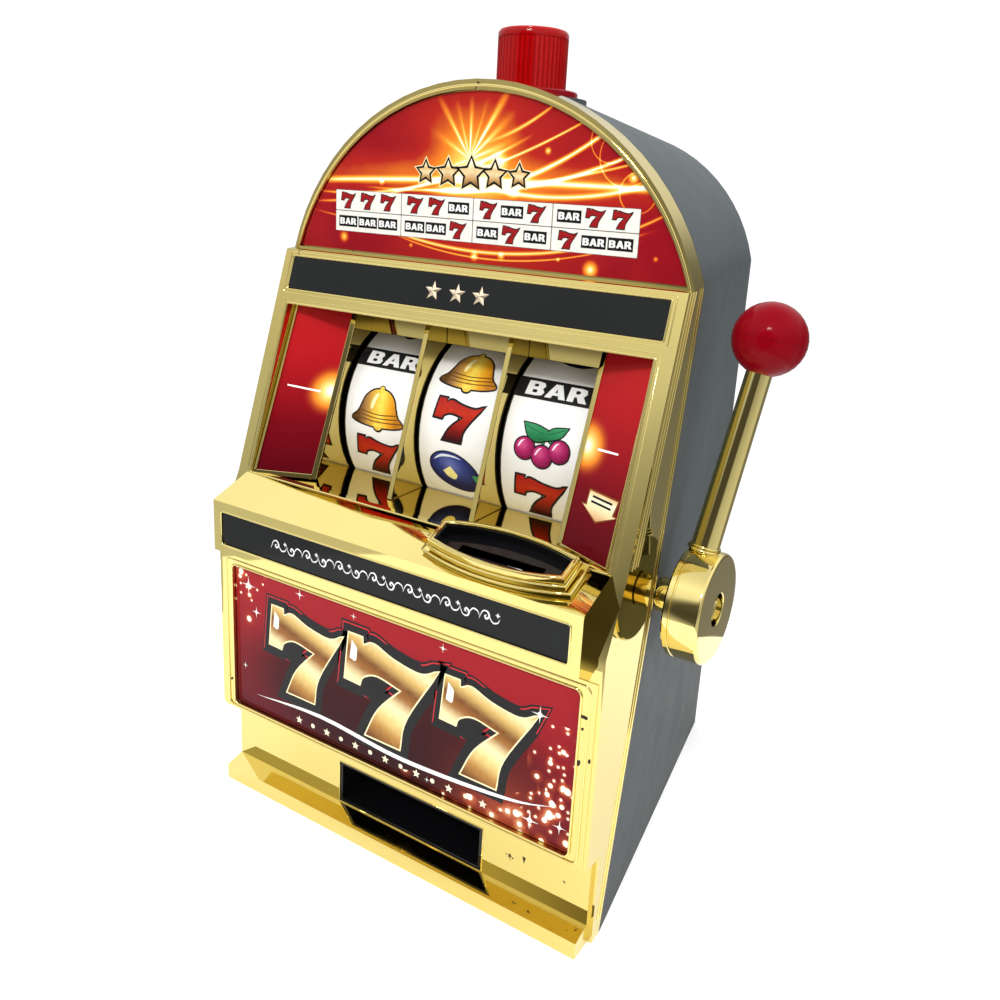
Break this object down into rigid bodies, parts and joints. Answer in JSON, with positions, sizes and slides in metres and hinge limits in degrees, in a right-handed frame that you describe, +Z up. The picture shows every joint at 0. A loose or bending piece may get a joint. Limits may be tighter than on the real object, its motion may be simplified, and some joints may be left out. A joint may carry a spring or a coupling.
{
  "type": "toy slot machine bank",
  "caption": "Toy slot machine coin bank with arched gold front, tapered dark case, side pull lever, reels behind a window, payout tray and red beacon on top.",
  "frame": {"origin": "on the flat underside of the base plate, under the middle of its depth and width", "axes": "+Z up, the front with the reels faces -Y, the pull lever is on +X"},
  "size_m": [0.2536, 0.2206, 0.3814],
  "materials": {
    "gold_metallised_shell": "vacuum metallised mirror gold on moulded plastic",
    "gold_metallised_lever": "vacuum metallised mirror gold on moulded plastic",
    "case_satin_dark": "satin fine texture",
    "base_satin_dark": "satin",
    "printed_red_panel": "printed clear acrylic, glossy",
    "printed_black_panel": "printed clear acrylic, glossy",
    "black_gloss_tray": "glossy",
    "black_inner_plastic": "plain",
    "drum_black_plastic": "plain",
    "reel_print": "printed white film",
    "gear_white_plastic": "natural nylon",
    "frame_steel": "zinc plated sheet",
    "bright_steel": "plated, polished",
    "beacon_red_lens": "translucent red, ribbed",
    "beacon_red_flange": "gloss",
    "ball_red": "gloss",
    "led_red": "clear red resin",
    "bumper_rubber": "plain",
    "board_green": "solder mask",
    "battery_wrap": "printed wrap over steel",
    "speaker_black": "paper cone in black frame"
  },
  "bodies": {
    "cabinet": {"base_plate": "base_satin_dark", "base_screw_1": "bright_steel", "base_screw_2": "bright_steel", "base_screw_3": "bright_steel", "base_screw_4": "bright_steel", "battery_1": "battery_wrap", "battery_2": "battery_wrap", "battery_box": "black_inner_plastic", "battery_cover": "base_satin_dark", "beacon_base": "beacon_red_flange", "beacon_led": "led_red", "beacon_lens": "beacon_red_lens", "belly_panel": "printed_red_panel", "bill_chute": "black_inner_plastic", "bill_tray": "gold_metallised_shell", "circuit_board": "board_green", "door_hinge_pin": "bright_steel", "frame_tie_bar": "bright_steel", "front_shell": "gold_metallised_shell", "left_reel_panel": "printed_red_panel", "lever_bush": "gold_metallised_lever", "lever_stop": "bumper_rubber", "partition_left": "gold_metallised_shell", "partition_right": "gold_metallised_shell", "payout_tray": "black_gloss_tray", "rear_case": "case_satin_dark", "reel_bezel": "gold_metallised_shell", "reel_frame_left": "frame_steel", "reel_frame_right": "frame_steel", "return_spring": "bright_steel", "right_reel_panel": "printed_red_panel", "shelf_strip": "printed_black_panel", "speaker": "speaker_black", "star_band_panel": "printed_black_panel", "switch_bezel": "black_inner_plastic", "switch_body": "black_inner_plastic", "top_graphic_panel": "printed_red_panel"},
    "lever": {"lever_shaft": "bright_steel", "lever_hub": "gold_metallised_lever", "lever_arm": "gold_metallised_lever", "ball_knob": "ball_red", "hub_screw": "bright_steel", "sector_gear": "gear_white_plastic"},
    "reel_shaft": {"reel_axle": "bright_steel", "pinion": "gear_white_plastic", "reel_spacer_1": "bright_steel", "reel_spacer_2": "bright_steel", "axle_clip_left": "bright_steel", "axle_clip_right": "bright_steel"},
    "reel_1": {"reel_drum_1": "drum_black_plastic", "reel_strip_1": "reel_print"},
    "reel_2": {"reel_drum_2": "drum_black_plastic", "reel_strip_2": "reel_print"},
    "reel_3": {"reel_drum_3": "drum_black_plastic", "reel_strip_3": "reel_print"},
    "coin_door": {"coin_door": "case_satin_dark"},
    "switch": {"switch_slider": "gear_white_plastic"}
  },
  "joints": [
    {"name": "lever_pull", "type": "hinge", "parent": "cabinet", "child": "lever", "pos_m": [0.1182, -0.048, 0.1488], "axis": [1, 0, 0], "range_deg": [0, 50], "stiffness_Nm_per_rad": 0.15, "springref_deg": -34.38},
    {"name": "reel_shaft_turn", "type": "hinge", "parent": "cabinet", "child": "reel_shaft", "pos_m": [0, -0.0034, 0.1937], "axis": [1, 0, 0], "range_deg": [-104, 4]},
    {"name": "reel_1_spin", "type": "hinge", "parent": "reel_shaft", "child": "reel_1", "pos_m": [-0.0462, -0.0034, 0.1937], "axis": [1, 0, 0], "continuous": true},
    {"name": "reel_2_spin", "type": "hinge", "parent": "reel_shaft", "child": "reel_2", "pos_m": [0, -0.0034, 0.1937], "axis": [1, 0, 0], "continuous": true},
    {"name": "reel_3_spin", "type": "hinge", "parent": "reel_shaft", "child": "reel_3", "pos_m": [0.0462, -0.0034, 0.1937], "axis": [1, 0, 0], "continuous": true},
    {"name": "coin_door_hinge", "type": "hinge", "parent": "cabinet", "child": "coin_door", "pos_m": [0.0315, 0.1098, 0.06], "axis": [0, 0, -1], "range_deg": [0, 110]},
    {"name": "switch_slide", "type": "slide", "parent": "cabinet", "child": "switch", "axis": [1, 0, 0], "range_m": [0, 0.006]}
  ],
  "couplings": [
    {"joint": "reel_shaft_turn", "follows": "lever_pull", "ratio": -2}
  ]
}
